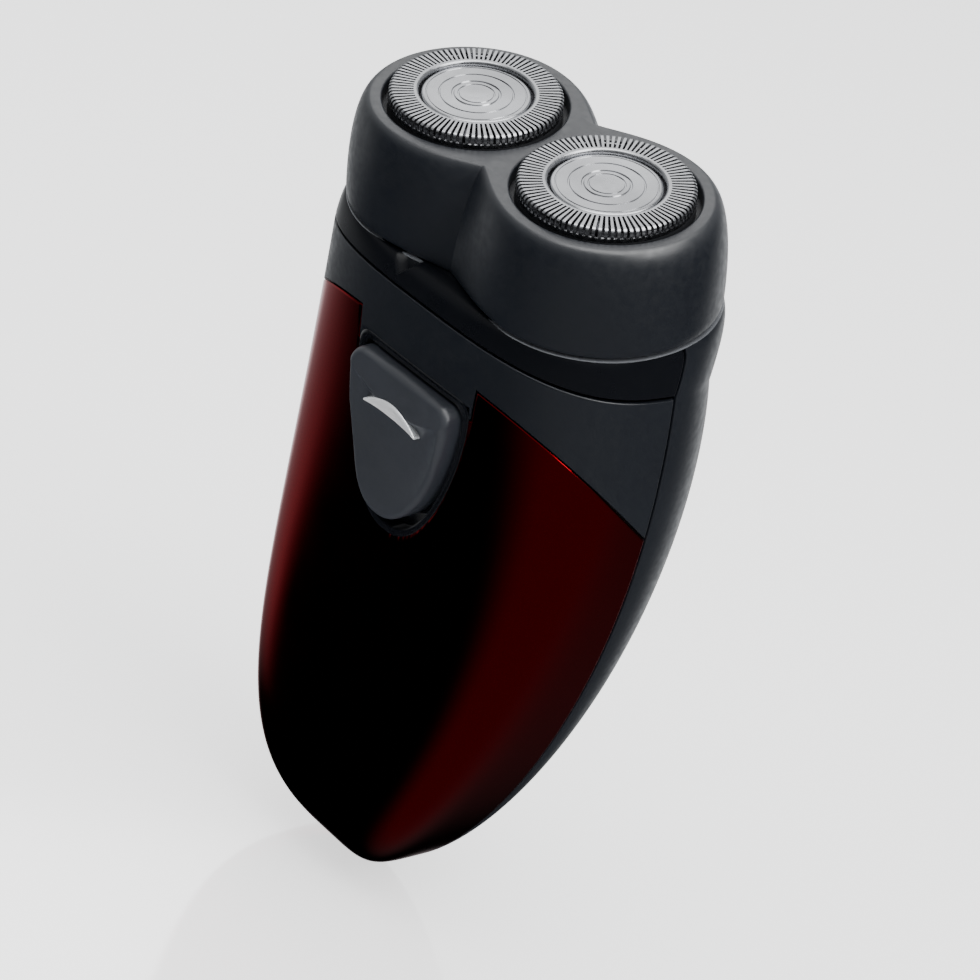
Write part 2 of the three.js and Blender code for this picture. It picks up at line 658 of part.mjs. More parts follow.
const hollowRings = [UNIT_HEIGHT, 14, 9.5, 6, 3.2, 1.8].map((d) => lobedRing(d, UNIT_WALL));
hollowRings.unshift(hollowRings[0].map((p) => p.clone().setZ(p.z - 2)));
shell = shell.subtract(solid(loft(hollowRings)));
for (const [, x] of SPINDLES) {
  shell = shell.subtract(solid(rod(GUARD_HOLE_RADIUS, x, 0, -8, 2, 48)));
}
node(unit, "head_shell", SLATE, shell);

// Frame that holds guards and cutters in the unit, with a ring and four arms round each spindle.
const FRAME_TOP = -6.4;
const FRAME_LOW = -8.0;
let holder = solid(plate(lobedOutline(14.9, 9.8), FRAME_LOW, FRAME_TOP));
for (const [, x] of SPINDLES) {
  holder = holder.subtract(solid(rod(11.6, x, 0, FRAME_LOW - 1, FRAME_TOP + 1, 36)));
  const arms = solid(box([x - 12.2, -1, FRAME_LOW], [x + 12.2, 1, FRAME_TOP]))
    .add(solid(box([x - 1, -12.2, FRAME_LOW], [x + 1, 12.2, FRAME_TOP])))
    .add(solid(rod(3.9, x, 0, FRAME_LOW, FRAME_TOP, 24)));
  holder = holder.add(arms).subtract(solid(rod(2.9, x, 0, FRAME_LOW - 1, 0, 24)));
}
holder = holder.add(solid(rod(1.6, 0, 0, FRAME_LOW - 2.6, FRAME_TOP, 20)));
node(unit, "retaining_frame", CHASSIS, holder);

// Knurled wheel that locks the frame into the unit.
let wheel = solid(rod(4.6, 0, 0, FRAME_LOW - 2.3, FRAME_LOW - 0.3, 24));
for (let i = 0; i < 12; i++) {
  const a = (Math.PI / 6) * i;
  wheel = wheel.subtract(solid(rod(0.5, 4.6 * Math.cos(a), 4.6 * Math.sin(a), -12, -8, 8)));
}
wheel = wheel.subtract(solid(rod(1.66, 0, 0, -12, -7, 20)));
node(unit, "lock_wheel", CHASSIS, wheel);

for (const [name, x] of SPINDLES) {
  const skirt = -3.6;
  const guard = [
    [0, -1.3],
    [8.6, -1.3],
    [8.6, -0.5],
    [GUARD_RADIUS - 0.4, -0.5],
    [GUARD_RADIUS - 0.4, skirt - 0.5],
    [13.7, skirt - 0.5],
    [13.7, skirt],
    [GUARD_RADIUS, skirt],
    [GUARD_RADIUS, -0.35],
    [GUARD_RADIUS - 0.35, 0],
    [8.2, 0],
    [8.0, -0.9],
    [0, -0.9],
  ];
  node(unit, "guard_" + name, STEEL, turned(guard, x));
  const cap = [
    [0, -0.85],
    [CAP_RADIUS, -0.85],
    [CAP_RADIUS, -0.3],
    [CAP_RADIUS - 0.25, -0.1],
    [0, -0.02],
  ];
  node(unit, "guard_cap_" + name, BRIGHT, turned(cap, x));

  const ring = [[3.0, -2.7], [11.4, -2.7], [11.4, -1.9], [3.0, -1.9], [3.0, -2.7]];
  let cutter = solid(turned(ring, 0, 0, 30));
  for (let i = 0; i < BLADE_COUNT; i++) {
    const blade = box([8.9, -0.3, -2.2], [11.3, 0.3, -0.62]);
    cutter = cutter.add(solid(blade.rotateZ((2 * Math.PI * i) / BLADE_COUNT)));
  }
  node(unit, "cutter_" + name, STEEL, geometryOf(cutter).translate(x, 0, 0));
  const hubProfile = [
    [0, -6.2],
    [2.5, -6.2],
    [2.5, -3.6],
    [4.0, -3.0],
    [4.0, -2.75],
    [2.9, -2.75],
    [2.9, -1.8],
    [0, -1.8],
  ];
  let hub = solid(turned(hubProfile, 0, 0, 24));
  hub = hub.subtract(solid(box([-1.1, -1.1, -8], [1.1, 1.1, -2.6])));
  node(unit, "cutter_hub_" + name, NATURAL, geometryOf(hub).translate(x, 0, 0));
}

// ---------------------------------------------------------------- leads
const plateZ = contactZ + 0.9;
const leadRed = [[-8, 1.5, plateZ], [-9.5, 3.5, 73.9], [-11.2, 6, 76], [-11.4, 7, 79], [-10.9, 6, 82]];
const leadBlack = leadRed.map(([x, y, z]) => [-x, y, z]);
node(shaver, "motor_lead_red", LEAD_RED, wire(leadRed, 0.5, 12));
node(shaver, "motor_lead_black", LEAD_BLACK, wire(leadBlack, 0.5, 12));

export default shaver;
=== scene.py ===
"""Looks of a two-head rotary shaver, built round its CAD frame.

Lengths in the shape code are millimetres, as in the CAD source; to_row() turns them into metres.
"""

import json
import math

import bmesh
import bpy
import numpy as np
from mathutils import Matrix, Vector, kdtree
from mathutils.geometry import tessellate_polygon


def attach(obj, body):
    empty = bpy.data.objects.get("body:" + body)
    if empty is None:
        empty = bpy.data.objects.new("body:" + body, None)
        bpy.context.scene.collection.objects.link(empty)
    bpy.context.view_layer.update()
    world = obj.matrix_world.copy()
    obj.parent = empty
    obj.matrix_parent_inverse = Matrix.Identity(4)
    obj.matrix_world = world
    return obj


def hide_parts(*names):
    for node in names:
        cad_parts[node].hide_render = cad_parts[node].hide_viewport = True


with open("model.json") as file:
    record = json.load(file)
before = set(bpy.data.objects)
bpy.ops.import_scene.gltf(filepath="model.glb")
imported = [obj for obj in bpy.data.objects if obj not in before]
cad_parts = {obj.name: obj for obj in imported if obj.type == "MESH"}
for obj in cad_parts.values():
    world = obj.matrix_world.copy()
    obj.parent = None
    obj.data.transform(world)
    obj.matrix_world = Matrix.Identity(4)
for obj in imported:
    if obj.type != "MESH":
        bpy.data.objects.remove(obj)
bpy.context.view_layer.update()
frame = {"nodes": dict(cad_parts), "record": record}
NODES = frame["nodes"]

# ------------------------------------------------------------------ dimensions, in mm
CENTRE_Y = -0.311
HANDLE_TOP = 94.6
CROWN = 96.8
HALF_WIDTH = 31.2
FRONT_DEPTH = 20.5
BACK_DEPTH = 20.5
BOW = 5.68
FRONT_SQUARENESS = (7.0, 3.0)
TIP_SQUARENESS = 2.4
TIP_BLEND = 5.0
BACK_SQUARENESS = 2.4
TAPER_WIDTH = (2.36, 2.15)
TAPER_FRONT = (7.62, 1.72)
TAPER_BACK = (1.72, 1.38)
BACK_DRAW_IN = 0.12
WALL = 2.0
REST_FLAT_Y = 22.4
REST_BLEND = 0.12  # how softly the back runs into the flat it lies on
TIP_LIFT = 0.03  # the lowest ring stays this far above the floor

HEAD_TILT = math.radians(15)
HEAD_Y = -7.05
HEAD_Z = 119.5
HEAD_SPREAD = 14.0
DECK_Z = -1.5
UNIT_HEIGHT = 15.55
UNIT_FOOT_Z = DECK_Z - UNIT_HEIGHT
LOBE_DECK, LOBE_WIDEST, LOBE_FOOT = 14.5, 17.5, 17.3
LOBE_WIDEST_AT = 14.0
WAIST_DECK, WAIST_FOOT = 10.0, 15.5
WAIST_BLEND = 3.0
NECK_RADIUS = LOBE_FOOT - 0.3
NECK_RISE, NECK_CURVE = 0.3, 1.8  # straight share of the neck's rise, and the power of the rest
UNIT_GAP = 0.3  # between the neck and the shaving unit
UNIT_WALL = 1.5

GUARD_RADIUS = 12.25
GUARD_HOLE_RADIUS = 13.1
GUARD_THICKNESS = 0.32
SLOT_COUNT = 90
CAP_RADIUS = 7.7

PANEL_THICKNESS = 1.2
PANEL_EDGE_Z, PANEL_EDGE_SLOPE = 74.3, -0.73
TONGUE_HALF_WIDTH = 12.6
TONGUE_FOOT_Z = 83.0
SWITCH_Y, SWITCH_Z = -16.75, 72.5
SWITCH_TILT = math.radians(7.2)
SWITCH_TOP, SWITCH_FOOT, SWITCH_HALF = 10.9, -11.6, 10.7
SWITCH_CORNER = 2.2
SWITCH_PROUD = 2.9
SWITCH_TRAVEL = 1.8
INLAY_HALF, INLAY_Z = 5.8, 4.3

NOTCH_X, NOTCH_FOOT_Z = -6.2, 95.9
NOTCH_SPREAD = 0.87  # half width of the notch per mm above its foot
NOTCH_DEPTH = 1.2
NOTCH_SLOPE = 0.7  # width over which the notch's sides fall away

DOOR_SHARE = 0.72  # half width of the battery door, as a share of the handle's
DOOR_FOOT, DOOR_TOP = 14.0, 70.5


# ------------------------------------------------------------------ frames
def to_row(points):
    """Points in the handle's frame, in mm, as row-frame metres."""
    return (np.asarray(points, float) + (0.0, CENTRE_Y, 0.0)) * 0.001


def tilted(points, angle, y, z):
    """Points of a frame turned about X by angle and set down at (0, y, z)."""
    p = np.asarray(points, float)
    c, s = math.cos(angle), math.sin(angle)
    turned_y, turned_z = y + p[..., 1] * c - p[..., 2] * s, z + p[..., 1] * s + p[..., 2] * c
    return np.stack([p[..., 0], turned_y, turned_z], -1)


def from_head(points):
    return tilted(points, HEAD_TILT, HEAD_Y, HEAD_Z)


def from_switch(points):
    return tilted(points, SWITCH_TILT, SWITCH_Y, SWITCH_Z)


# ------------------------------------------------------------------ handle surface
def taper(pq, u):
    return (1 - np.clip(u, 0, 1) ** pq[0]) ** (1 / pq[1])


def parting_y(z):
    k = np.clip(z / HANDLE_TOP, 0, 1)
    return BOW * 4 * k * (1 - k)


def section(z, inset):
    """Half width, front depth, back depth and front squareness at height z."""
    u = (CROWN - np.maximum(z, inset)) / (CROWN - inset)
    k = np.clip(z / HANDLE_TOP, 0, 1)
    even = FRONT_SQUARENESS[0] + (FRONT_SQUARENESS[1] - FRONT_SQUARENESS[0]) * k
    blend = 1 - np.exp(np.minimum(inset - z, 0) / TIP_BLEND)
    squareness = TIP_SQUARENESS + (even - TIP_SQUARENESS) * blend
    return (
        (HALF_WIDTH - inset) * taper(TAPER_WIDTH, u),
        (FRONT_DEPTH - inset) * taper(TAPER_FRONT, u),
        (BACK_DEPTH * (1 - BACK_DRAW_IN * k**8) - inset) * taper(TAPER_BACK, u),
        squareness,
    )


def front_y(x, z):
    """Y of the front surface over x and z."""
    w, f, _, n = section(z, 0.0)
    return parting_y(z) - f * (1 - np.clip(np.abs(x / np.maximum(w, 1e-6)), 0, 1) ** n) ** (1 / n)


def around(angle, z, inset):
    """Point of the handle's section at a polar angle, 0 at +X, negative in front."""
    w, f, b, n = section(z, inset)
    c, s = np.cos(angle), np.sin(angle)
    depth = np.where(s < 0, f, b)
    n = np.where(s < 0, n, BACK_SQUARENESS)
    w, depth = np.maximum(w, 1e-6), np.maximum(depth, 1e-6)
    r = ((np.abs(c) / w) ** n + (np.abs(s) / depth) ** n) ** (-1 / n)
    return r * c, parting_y(z) + r * s


def lobed_y(x, radius, waist):
    """Half depth at x of two circles that are joined by a blended waist."""
    over = np.abs(x) - HEAD_SPREAD
    lobe = np.sqrt(np.maximum(0, radius**2 - over**2))

    def blend(y):
        return WAIST_BLEND * np.logaddexp(y / WAIST_BLEND, waist / WAIST_BLEND)

    return np.where(over > 0, lobe, blend(lobe) - blend(radius) + radius)


def lobed(angle, radius, waist):
    """Point of the shaving unit's outline at a polar angle about its middle."""
    c, s = np.abs(np.cos(angle)), np.abs(np.sin(angle))
    low, high = np.zeros_like(c * radius), np.full_like(c * radius, 2 * HALF_WIDTH)
    for _ in range(46):
        r = (low + high) / 2
        x = r * c
        inside = (x < HEAD_SPREAD + radius) & (r * s < lobed_y(x, radius, waist))
        low, high = np.where(inside, r, low), np.where(inside, high, r)
    return low * np.cos(angle), low * np.sin(angle)


def handle(angle, height, inset):
    """The handle's skin. Heights past HANDLE_TOP run 0 to 1 up the neck to the shaving unit."""
    z = np.clip(np.maximum(height, inset), 0, HANDLE_TOP)
    x, y = around(angle, z, inset)
    k = np.clip(height - HANDLE_TOP, 0, 1)
    u, v = lobed(angle, NECK_RADIUS - inset, WAIST_FOOT - inset)
    neck = from_head(np.stack([u, v, np.full_like(u, UNIT_FOOT_Z - UNIT_GAP)], -1))
    out = np.sqrt(1 - k * k)
    rise = NECK_RISE * k + (1 - NECK_RISE) * (1 - (1 - k) ** NECK_CURVE)
    x = neck[..., 0] + (x - neck[..., 0]) * out
    y = neck[..., 1] + (y - neck[..., 1]) * out
    z = z + (neck[..., 2] - z) * rise
    return np.stack([x, soft_min(y, REST_FLAT_Y - inset), z], -1)


def soft_min(value, limit):
    """The lower of the two, rounded over where they cross."""
    return -REST_BLEND * np.logaddexp(-value / REST_BLEND, -limit / REST_BLEND)


# ------------------------------------------------------------------ meshes
def link(mesh, name):
    piece = bpy.data.objects.new(name, mesh)
    bpy.context.scene.collection.objects.link(piece)
    return piece


SHARP_ANGLE = 35  # degrees between two faces, above which their edge is sharp


def make(name, points, faces, sharp=SHARP_ANGLE):
    """A smooth-shaded mesh object, from points in mm in the handle's frame."""
    mesh = bpy.data.meshes.new(name)
    mesh.from_pydata([tuple(p) for p in to_row(points)], [], faces)
    mesh.validate()
    mesh.update()
    mesh.polygons.foreach_set("use_smooth", [True] * len(mesh.polygons))
    mesh.set_sharp_from_angle(angle=math.radians(sharp))
    return link(mesh, name)


def spaced(low, high, count, edge=(0.0, 0.04, 0.1, 0.18, 0.3, 0.55), size=1.0, ends="both"):
    """Values from low to high: even steps, with the edge distances (over size) kept at its ends."""
    span = high - low
    steps = np.array(edge) / size
    first = steps if ends in ("both", "low") else np.array([0.0])
    last = 1 - steps[::-1] if ends in ("both", "high") else np.array([1.0])
    middle = np.linspace(first[-1], last[0], count)[1:-1]
    return low + span * np.concatenate([first, middle, last])


def fillet_depth(distance, radius):
    d = np.clip(distance, 0, radius)
    return radius - np.sqrt(radius**2 - (radius - d) ** 2)


RIM_STEP = 0.05  # spacing of the points that stand for a border


def rim_distance(points, keep, wrap, open_rows=()):
    """How far each grid point lies from the borders of the kept cells."""
    rows, cols = points.shape[:2]
    padded = np.pad(keep, 1)
    if wrap:
        padded[1:-1, 0], padded[1:-1, -1] = keep[:, -1], keep[:, 0]
    tree_points = []

    def add(a, b):
        steps = max(1, int(np.linalg.norm(a - b) / RIM_STEP))
        for i in range(steps + 1):
            tree_points.append(a + (b - a) * (i / steps))

    for r in range(rows):
        if r in open_rows:
            continue
        for c in range(cols if wrap else cols - 1):
            if padded[r, c + 1] != padded[r + 1, c + 1]:
                add(points[r, c], points[r, (c + 1) % cols])
    for c in range(cols):
        for r in range(rows - 1):
            if padded[r + 1, c] != padded[r + 1, c + 1]:
                add(points[r, c], points[r + 1, c])
    tree = kdtree.KDTree(len(tree_points))
    for i, p in enumerate(tree_points):
        tree.insert(p, i)
    tree.balance()
    flat = points.reshape(-1, 3)
    return np.array([tree.find(p)[2] for p in flat]).reshape(rows, cols)


def skin(
    name, at, u, v, thickness, keep=None, base=0.0, wrap=False, radius=0.25, open_rows=(),
    sharp=SHARP_ANGLE,
):
    """A closed shell over a grid: rounded along its borders and as thick as thickness."""
    rows, cols = u.shape
    cells = cols if wrap else cols - 1
    if keep is None:
        keep = np.ones((rows - 1, cells), bool)
    base = np.zeros_like(u) + base
    outer = at(u, v, base)
    depth = fillet_depth(rim_distance(outer, keep, wrap, open_rows), radius) if radius else 0
    outer = at(u, v, base + depth)
    inner = at(u, v, base + thickness)
    index, points, faces = {}, [], []

    def corner(layer, r, c):
        key = (layer, r, c % cols)
        if key not in index:
            index[key] = len(points)
            points.append((outer, inner)[layer][r, c % cols])
        return index[key]

    def kept(r, c):
        if wrap:
            c %= cells
        return 0 <= r < rows - 1 and 0 <= c < cells and keep[r, c]

    for r in range(rows - 1):
        for c in range(cells):
            if not keep[r, c]:
                continue
            ring = [(r, c), (r, c + 1), (r + 1, c + 1), (r + 1, c)]
            faces.append([corner(0, *p) for p in ring])
            faces.append([corner(1, *p) for p in reversed(ring)])
            beyond = [(r - 1, c), (r, c + 1), (r + 1, c), (r, c - 1)]
            for i, cell in enumerate(beyond):
                if not kept(*cell):
                    a, b = ring[i], ring[(i + 1) % 4]
                    faces.append([corner(0, *b), corner(0, *a), corner(1, *a), corner(1, *b)])
    points = np.array(points)
    return make(name, points, turned_out(points, faces), sharp)


def turned_out(points, faces):
    """The faces, all reversed if they enclose a negative volume."""
    volume = 0.0
    for f in faces:
        a = points[f[0]]
        for i in range(1, len(f) - 1):
            volume += np.dot(a, np.cross(points[f[i]], points[f[i + 1]]))
    return faces if volume > 0 else [f[::-1] for f in faces]


def bands(rings, offset=0):
    """Quads between closed rings of the same length, numbered one after the other."""
    count = len(rings[0])
    faces = []
    for j in range(len(rings) - 1):
        for i in range(count):
            k = (i + 1) % count
            a, b = offset + j * count + i, offset + j * count + k
            faces.append([a, b, b + count, a + count])
    return faces


def stacked(name, rings, sharp=SHARP_ANGLE, joined=False):
    """A closed body of rings, with flat ends, or with its last ring joined to its first."""
    count = len(rings[0])
    points = np.concatenate([np.asarray(r, float) for r in rings])
    faces = bands(rings)
    if joined:
        last = (len(rings) - 1) * count
        faces += [[last + i, last + (i + 1) % count, (i + 1) % count, i] for i in range(count)]
    else:
        faces.append(list(range(count))[::-1])
        faces.append([(len(rings) - 1) * count + i for i in range(count)])
    return make(name, points, turned_out(points, faces), sharp)


def lathe(name, profile, x, sides, joined=True):
    """A body of revolution about the shaving unit's axis at x, from (radius, z) points."""
    return stacked(name, [circle(x, r, z, sides) for r, z in profile], joined=joined)


def circle(x, radius, z, count):
    """A level ring of the shaving unit about the axis at x."""
    angle = np.linspace(0, 2 * np.pi, count, endpoint=False)
    ring = np.stack([x + radius * np.cos(angle), radius * np.sin(angle), np.full(count, z)], -1)
    return from_head(ring)


# ------------------------------------------------------------------ materials
NOISE_LOW, NOISE_HIGH = 0.35, 0.65  # the range that most of a noise texture's values lie in


class Shader:
    """A Principled material whose maps are built from noise in object coordinates."""

    def __init__(self, name, color, roughness, metallic=0.0, **sockets):
        self.material = bpy.data.materials.new(name)
        self.material.use_nodes = True
        self.tree = self.material.node_tree
        self.bsdf = self.tree.nodes["Principled BSDF"]
        self.bsdf.inputs["Base Color"].default_value = (*color, 1)
        self.bsdf.inputs["Roughness"].default_value = roughness
        self.bsdf.inputs["Metallic"].default_value = metallic
        for key, value in sockets.items():
            self.bsdf.inputs[key.replace("_", " ")].default_value = value
        self.coordinates = self.tree.nodes.new("ShaderNodeTexCoord").outputs["Object"]
        self.color, self.roughness = color, roughness

    def add(self, kind, **values):
        made = self.tree.nodes.new(kind)
        for key, value in values.items():
            made.inputs[key.replace("_", " ")].default_value = value
        return made

    def noise(self, scale, detail):
        made = self.add("ShaderNodeTexNoise", Scale=scale, Detail=detail)
        self.tree.links.new(self.coordinates, made.inputs["Vector"])
        return made.outputs["Fac"]

    def vary_roughness(self, scale, spread):
        """Moves the roughness up and down by spread."""
        ramp = self.add("ShaderNodeMapRange", From_Min=NOISE_LOW, From_Max=NOISE_HIGH)
        ramp.inputs["To Min"].default_value = self.roughness - spread
        ramp.inputs["To Max"].default_value = self.roughness + spread
        self.tree.links.new(self.noise(scale, 3.0), ramp.inputs["Value"])
        self.tree.links.new(ramp.outputs["Result"], self.bsdf.inputs["Roughness"])
        return self

    def vary_color(self, scale, light, dark, detail=3.0):
        """Mottles the base colour between its dark and light multiples."""
        ramp = self.add("ShaderNodeValToRGB")
        ramp.color_ramp.elements[0].position = NOISE_LOW
        ramp.color_ramp.elements[1].position = NOISE_HIGH
        ramp.color_ramp.elements[0].color = (*[c * dark for c in self.color], 1)
        ramp.color_ramp.elements[1].color = (*[min(1, c * light) for c in self.color], 1)
        self.tree.links.new(self.noise(scale, detail), ramp.inputs["Fac"])
        self.tree.links.new(ramp.outputs["Color"], self.bsdf.inputs["Base Color"])
        return self

    def grain(self, scale, strength, distance):
        """Adds a fine bump, distance deep in metres."""
        bump = self.add("ShaderNodeBump", Strength=strength, Distance=distance)
        self.tree.links.new(self.noise(scale, 2.0), bump.inputs["Height"])
        self.tree.links.new(bump.outputs["Normal"], self.bsdf.inputs["Normal"])
        return self


def slate(name, color):
    """Satin moulded plastic with a fine spark texture."""
    s = Shader(name, color, 0.40, Specular_IOR_Level=0.9)
    s.vary_color(70, 1.06, 0.94).vary_roughness(900, 0.05)
    return s.grain(5200, 0.10, 0.00002).material


def gloss_black():
    """Polished black plastic of the switch rim and the deck."""
    s = Shader("gloss_black", (0.004, 0.0045, 0.006), 0.09, Coat_Weight=0.3, Coat_Roughness=0.03)
    return s.vary_roughness(260, 0.03).grain(900, 0.02, 0.00001).material


def satin_black():
    """Duller black plastic of the collar band."""
    s = Shader("satin_black", (0.003, 0.0035, 0.005), 0.30, Specular_IOR_Level=0.16)
    return s.vary_roughness(260, 0.03).grain(1400, 0.02, 0.00001).material


def candy_red():
    """Smooth, glossy deep red metallic with a fine flake."""
    s = Shader("candy_red", (0.30, 0.003, 0.009), 0.16, metallic=1.0)
    s.vary_color(9000, 1.15, 0.85, detail=1.0).vary_roughness(120, 0.02)
    return s.grain(700, 0.015, 0.00001).material


def steel():
    s = Shader("guard_steel", (0.40, 0.405, 0.42), 0.26, metallic=1.0)
    s.vary_color(240, 1.06, 0.94).vary_roughness(1400, 0.06)
    return s.grain(5200, 0.03, 0.000004).material


def bright(name, color, roughness, metallic=1.0):
    s = Shader(name, color, roughness, metallic=metallic)
    s.vary_color(70, 1.2, 0.85).vary_roughness(700, 0.06)
    return s.grain(2600, 0.05, 0.00001).material


def plain_plastic(name, color, roughness):
    s = Shader(name, color, roughness)
    return s.vary_color(160, 1.1, 0.9).vary_roughness(700, 0.06).grain(3000, 0.12, 0.00003).material


def plain_metal(name, color, roughness=0.3):
    s = Shader(name, color, roughness, metallic=1.0)
    return s.vary_color(180, 1.08, 0.88).vary_roughness(900, 0.08).grain(2200, 0.08, 0.00001).material


def cell_wrap():
    s = Shader("cell_wrap", (0.05, 0.17, 0.10), 0.25, Coat_Weight=0.6, Coat_Roughness=0.08)
    return s.vary_color(60, 1.1, 0.9).vary_roughness(500, 0.05).grain(900, 0.03, 0.00001).material


SLATE = slate("slate", (0.0046, 0.0062, 0.0098))
# Lighter copy of the slate, painted lit: it stands in for the light falling on the slider's brow and
# scoop
SLATE_PAINTED_LIT = slate("slate_painted_lit", (0.021, 0.024, 0.031))
BLACK, RED = gloss_black(), candy_red()
STEEL = steel()
DISC = bright("disc_metal", (0.40, 0.405, 0.42), 0.22)
BRIGHT = bright("bright_metal", (0.86, 0.88, 0.91), 0.35, 0.55)
# Light grey of the lip is a painted highlight: it stands for the bright line along the shaving unit's
# foot
LIP_PAINTED_HIGHLIGHT = plain_plastic("lip_painted_highlight", (0.10, 0.105, 0.115), 0.3)
BAND = satin_black()
CUTTER = plain_metal("cutter_steel", (0.10, 0.10, 0.11), 0.4)
NATURAL = plain_plastic("natural_plastic", (0.62, 0.59, 0.52), 0.42)
CHASSIS = plain_plastic("chassis_black", (0.02, 0.021, 0.024), 0.55)
BRASS = plain_metal("brass", (0.60, 0.42, 0.16))
CELL = cell_wrap()
LEAD_RED = plain_plastic("lead_red", (0.40, 0.02, 0.02), 0.45)
LEAD_BLACK = plain_plastic("lead_black", (0.02, 0.02, 0.02), 0.45)
BY_SLOT = {
    "slate_plastic": SLATE, "gloss_black": BLACK, "candy_red": RED, "steel": STEEL,
    "bright_metal": BRIGHT, "natural_plastic": NATURAL, "chassis_black": CHASSIS, "brass": BRASS,
    "cell_wrap": CELL, "lead_red": LEAD_RED, "lead_black": LEAD_BLACK,
}


def finish_piece(piece, slot_name, body, *nodes, material=None):
    """Gives a piece its material, the slot's own unless one is given, and sets it on a body in place of
    those CAD nodes.
    """
    piece.data.materials.append(material or BY_SLOT[slot_name])
    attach(piece, body)
    if nodes:
        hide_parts(*nodes)
    return piece


# ------------------------------------------------------------------ camera
CAMERA_TARGET = Vector((-0.00448, 0.00907, 0.05816))
CAMERA_AZIMUTH, CAMERA_ELEVATION, CAMERA_ROLL = 41.62, 26.14, 17.05
CAMERA_DISTANCE, CAMERA_LENS = 0.5323, 132.24


def add_camera():
    a, e, roll = (math.radians(v) for v in (CAMERA_AZIMUTH, CAMERA_ELEVATION, CAMERA_ROLL))
    back = Vector((math.sin(a) * math.cos(e), -math.cos(a) * math.cos(e), math.sin(e)))
    level = Vector((math.cos(a), math.sin(a), 0))
    upright = back.cross(level)
    right = level * math.cos(roll) + upright * math.sin(roll)
    up = back.cross(right)
    data = bpy.data.cameras.new("camera")
    data.lens, data.sensor_width = CAMERA_LENS, 36
    data.clip_start, data.clip_end = 0.01, 20
    camera = bpy.data.objects.new("camera", data)
    turn = Matrix((right, up, back)).transposed()
    camera.matrix_world = Matrix.Translation(CAMERA_TARGET + back * CAMERA_DISTANCE) @ turn.to_4x4()
    bpy.context.scene.collection.objects.link(camera)
    bpy.context.scene.camera = camera


add_camera()


# ------------------------------------------------------------------ handle pieces
FRONT_GAP = 0.2 / HALF_WIDTH  # angle that keeps a front piece off the parting line
PANEL_GAP = 0.3  # between the panel and the housing, all round
PANEL_CUT, HOUSING_CUT = 1.05, 1.15  # how far their cutouts clear the switch outline
SHELL_FILLET = 0.22
FRONT_COLUMNS = 290


def columns(count):
    """Polar angles across the front, from the -X seam to the +X seam."""
    return spaced(-np.pi + FRONT_GAP, -FRONT_GAP, count, size=80)


def panel_edge(angle, drop):
    """Height of the panel's slanting top edge at each angle."""
    z = np.full_like(angle, 80.0)
    for _ in range(40):
        _, y = around(angle, z, 0.0)
        z = 0.5 * z + 0.5 * (PANEL_EDGE_Z + PANEL_EDGE_SLOPE * y - drop)
    return z


def shield_foot(share, grow):
    """Height of the switch outline's lower curve at a share of its half width."""
    shoulder = SWITCH_TOP + grow - SWITCH_CORNER
    curve = (1 - np.clip(np.abs(share), 0, 1) ** 2.3) ** 0.62
    return shoulder + (SWITCH_FOOT - grow - shoulder) * curve


OUTLINE_POINTS = 320


def shield(grow, travel=0.0):
    """Switch outline in its own X and Z, swept down by travel: straight top, rounded foot."""
    half, shoulder, corner = SWITCH_HALF + grow, SWITCH_TOP + grow - SWITCH_CORNER, SWITCH_CORNER
    turn = np.linspace(0, np.pi / 2, 14)
    right = np.stack([half - corner + corner * np.cos(turn), shoulder + corner * np.sin(turn)], -1)
    left = right[::-1] * (-1, 1)
    x = -np.cos(np.linspace(0, np.pi, 90))
    x = x if travel else x[1:-1]
    outline = np.concatenate([right, left, np.stack([half * x, shield_foot(x, grow) - travel], -1)])
    closed = np.concatenate([outline, outline[:1]])
    length = np.concatenate([[0], np.cumsum(np.linalg.norm(np.diff(closed, axis=0), axis=1))])
    even = np.linspace(0, length[-1], OUTLINE_POINTS, endpoint=False)
    return np.stack([np.interp(even, length, closed[:, k]) for k in (0, 1)], -1)


def in_opening(points, grow):
    """True where a point of the front lies inside the switch opening."""
    c, s = math.cos(SWITCH_TILT), math.sin(SWITCH_TILT)
    dy, dz = points[..., 1] - SWITCH_Y, points[..., 2] - SWITCH_Z
    x, z = points[..., 0], -dy * s + dz * c
    half = SWITCH_HALF + grow
    low = shield_foot(x / half, grow) - SWITCH_TRAVEL
    return (np.abs(x) < half) & (z < SWITCH_TOP + grow) & (z > low)


def outside_opening(u, v, grow):
    """Which cells of a grid on the front stay clear of the switch opening."""
    points = handle(u, v, 0.0)
    centre = (points[:-1, :-1] + points[1:, 1:]) / 2
    return ~in_opening(centre, grow)


def add_panel():
    """Glossy front panel, with the switch opening cut out."""
    angle = columns(FRONT_COLUMNS)
    x, _ = around(angle, np.full_like(angle, 85.0), 0.0)
    in_tongue = np.abs(x) < TONGUE_HALF_WIDTH + PANEL_GAP
    top = np.where(in_tongue, TONGUE_FOOT_Z - PANEL_GAP, panel_edge(angle, PANEL_GAP))
    share = spaced(0.0, 1.0, 170, size=85, ends="high") ** 1.25
    u = np.repeat(angle[None], len(share), 0)
    v = TIP_LIFT + (top[None] - TIP_LIFT) * share[:, None]
    keep = outside_opening(u, v, PANEL_CUT)
    piece = skin(
        "front_panel_skin", handle, u, v, PANEL_THICKNESS, keep, open_rows=(0,), radius=SHELL_FILLET
    )
    return finish_piece(piece, "candy_red", "handle", "front_panel")


